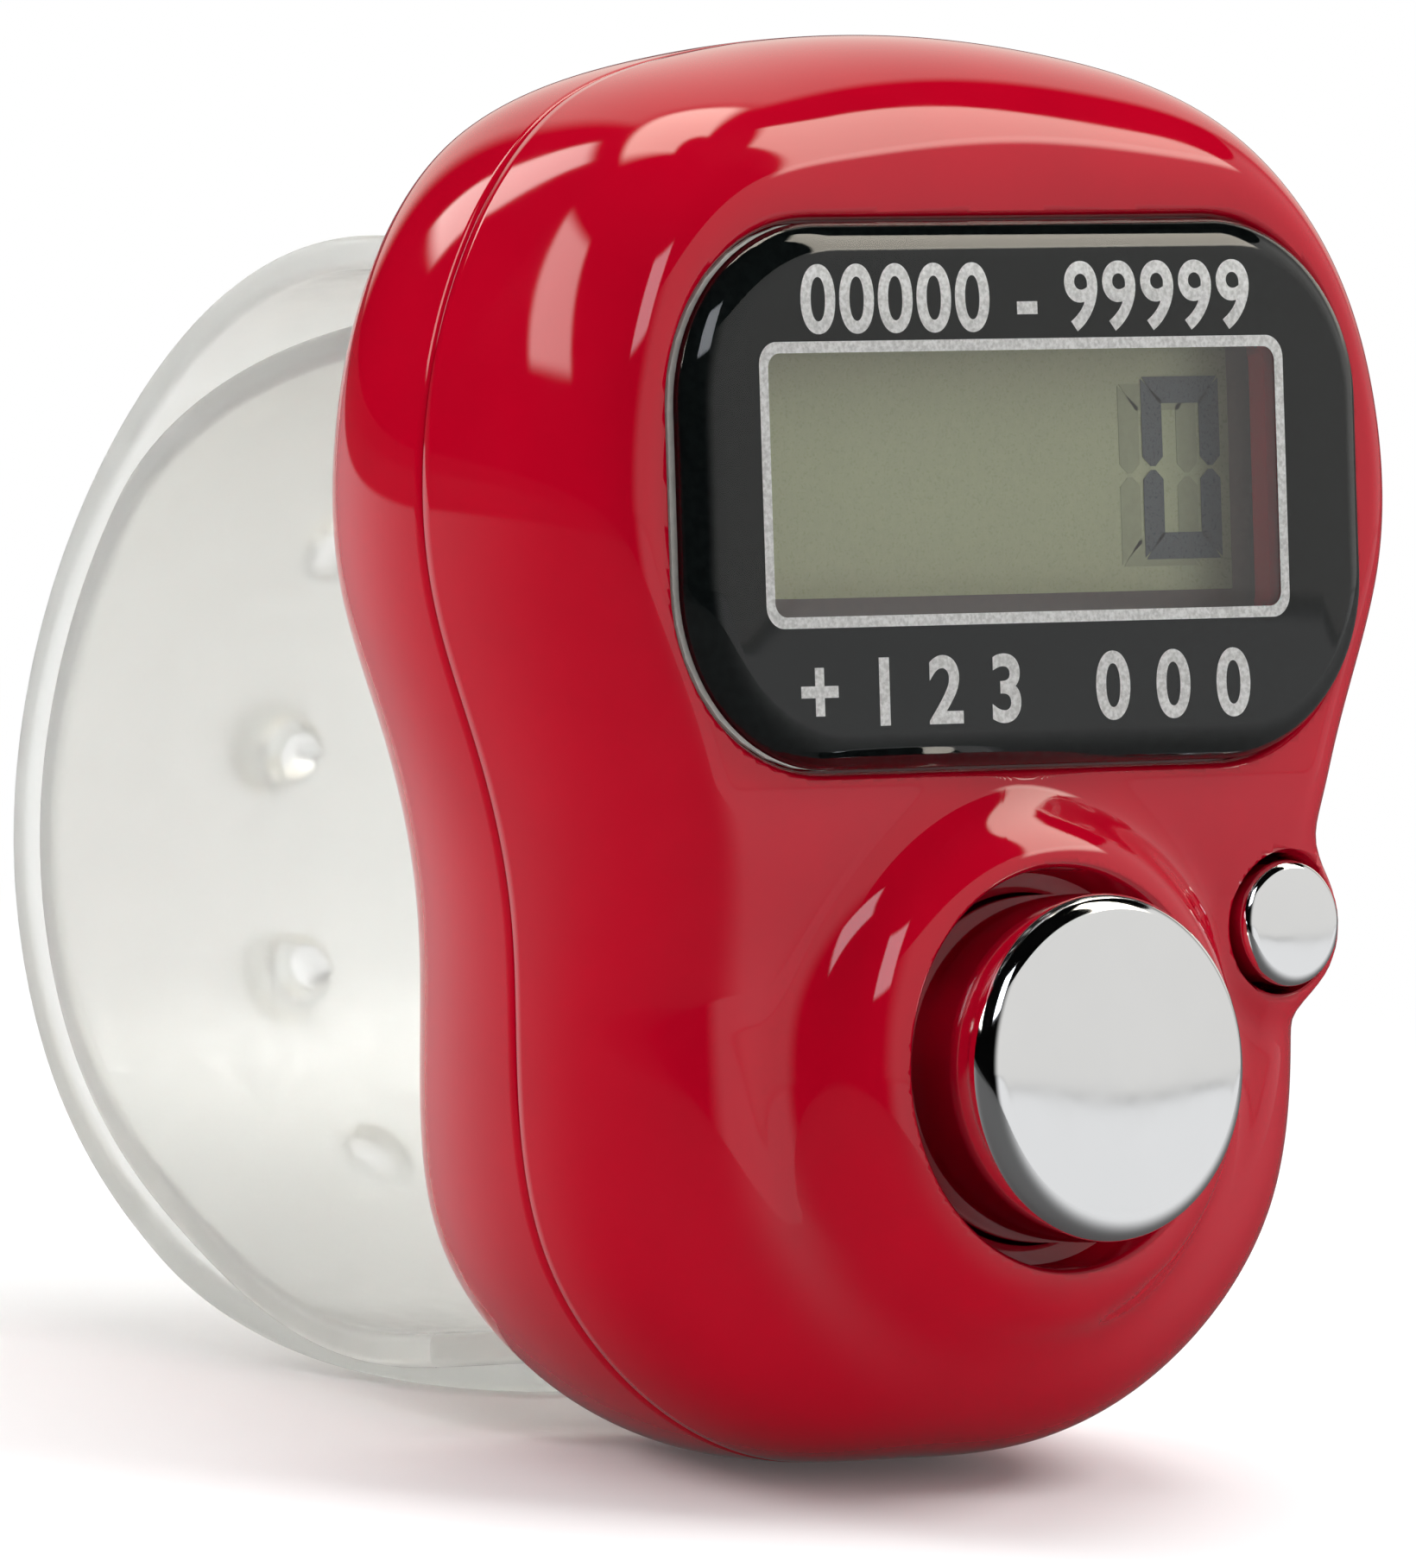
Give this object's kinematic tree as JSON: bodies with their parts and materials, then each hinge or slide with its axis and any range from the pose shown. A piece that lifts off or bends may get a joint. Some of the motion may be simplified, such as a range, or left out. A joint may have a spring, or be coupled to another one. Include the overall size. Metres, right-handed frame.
{
  "type": "digital_tally_counter",
  "caption": "Finger-worn digital tally counter: waisted glossy body, display under a clear lens, large chromed count button, small reset button and a soft strap that loops round a finger",
  "frame": {"origin": "bottom centre of the overall box: middle of the whole footprint, at the lowest point of the body", "axes": "+Z from the buttons up to the display, X across the body with +X on the reset button's side, +Y from the display back to the strap"},
  "size_m": [0.0292, 0.0366, 0.038],
  "materials": {
    "crimson plastic": "high gloss",
    "chrome plating": "mirror polished",
    "lens": "clear, with a black border printed on its back",
    "white tape": "matt",
    "display glass": "olive grey reflector behind clear glass",
    "black rubber": "matt",
    "green board": "solder resist",
    "steel": "bright",
    "brass": "plain",
    "soft plastic": "translucent, milky"
  },
  "bodies": {
    "housing": {"front_shell": "crimson plastic", "rear_case": "crimson plastic", "display_window": "lens", "window_adhesive": "white tape", "lcd_panel": "display glass", "zebra_connector": "black rubber", "lcd_foam_pad": "black rubber", "circuit_board": "green board", "controller_chip": "black rubber", "board_capacitor": "brass", "button_cell": "steel", "cell_positive_contact": "steel", "cell_negative_contact": "steel", "count_switch_base": "black rubber", "reset_switch_base": "black rubber", "board_screw_1": "steel", "board_screw_2": "steel", "board_screw_3": "steel", "case_screw_1": "steel", "case_screw_2": "steel", "strap_upper": "soft plastic", "strap_lower": "soft plastic"},
    "count_button": {"count_button": "chrome plating"},
    "count_plunger": {"count_switch_plunger": "brass"},
    "reset_button": {"reset_button": "chrome plating"},
    "reset_plunger": {"reset_switch_plunger": "brass"}
  },
  "joints": [
    {"name": "count_press", "type": "slide", "parent": "housing", "child": "count_button", "axis": [0, 1, 0], "range_m": [0, 0.0008], "stiffness_N_per_m": 900},
    {"name": "count_plunger_press", "type": "slide", "parent": "housing", "child": "count_plunger", "axis": [0, 1, 0], "range_m": [0, 0.00052], "stiffness_N_per_m": 40},
    {"name": "reset_press", "type": "slide", "parent": "housing", "child": "reset_button", "axis": [0, 1, 0], "range_m": [0, 0.0006], "stiffness_N_per_m": 700},
    {"name": "reset_plunger_press", "type": "slide", "parent": "housing", "child": "reset_plunger", "axis": [0, 1, 0], "range_m": [0, 0.00033], "stiffness_N_per_m": 20}
  ],
  "couplings": [
    {"joint": "count_plunger_press", "follows": "count_press", "ratio": 0.65},
    {"joint": "reset_plunger_press", "follows": "reset_press", "ratio": 0.55}
  ]
}
